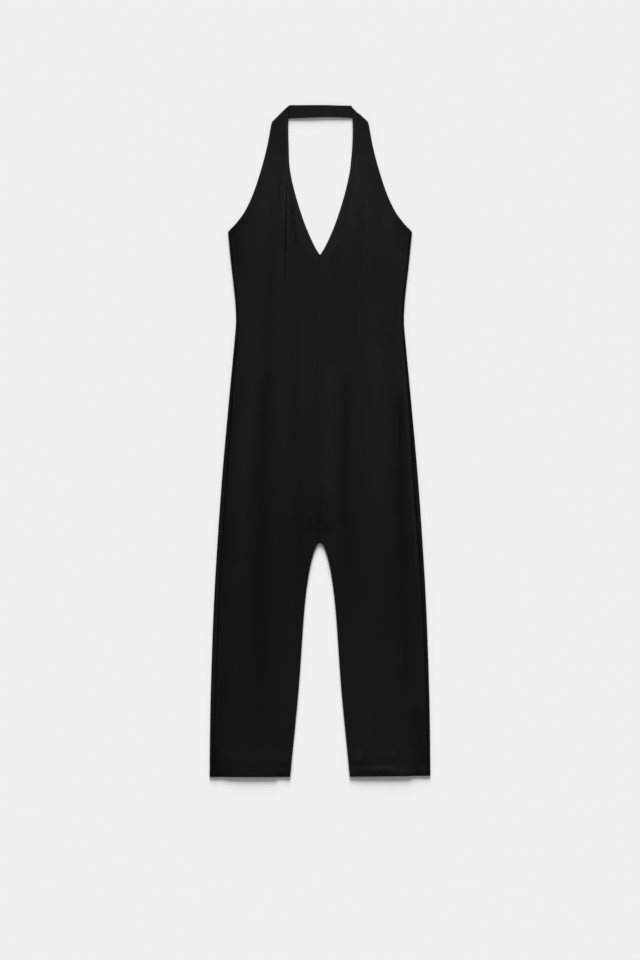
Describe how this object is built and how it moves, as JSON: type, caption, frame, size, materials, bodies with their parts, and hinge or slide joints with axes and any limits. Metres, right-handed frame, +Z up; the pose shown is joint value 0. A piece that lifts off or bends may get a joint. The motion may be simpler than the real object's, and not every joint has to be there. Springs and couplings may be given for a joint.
{
  "type": "halter-neck jumpsuit laid flat",
  "caption": "Sleeveless halter-neck jumpsuit in thin jersey with a deep V neck, an open back and cropped legs, laid flat on its back.",
  "frame": {"origin": "on the surface that the garment lies on, under the middle of its length and width", "axes": "+Y along the garment from the hems to the neck, +X to the wearer's left, +Z up out of the front"},
  "size_m": [0.442, 1.344, 0.0068],
  "materials": {
    "jersey": "matt black fine-knit jersey"
  },
  "bodies": {
    "root": {"front_left": "jersey", "front_right": "jersey", "back_left": "jersey", "back_right": "jersey", "neck_band": "jersey"}
  },
  "joints": []
}
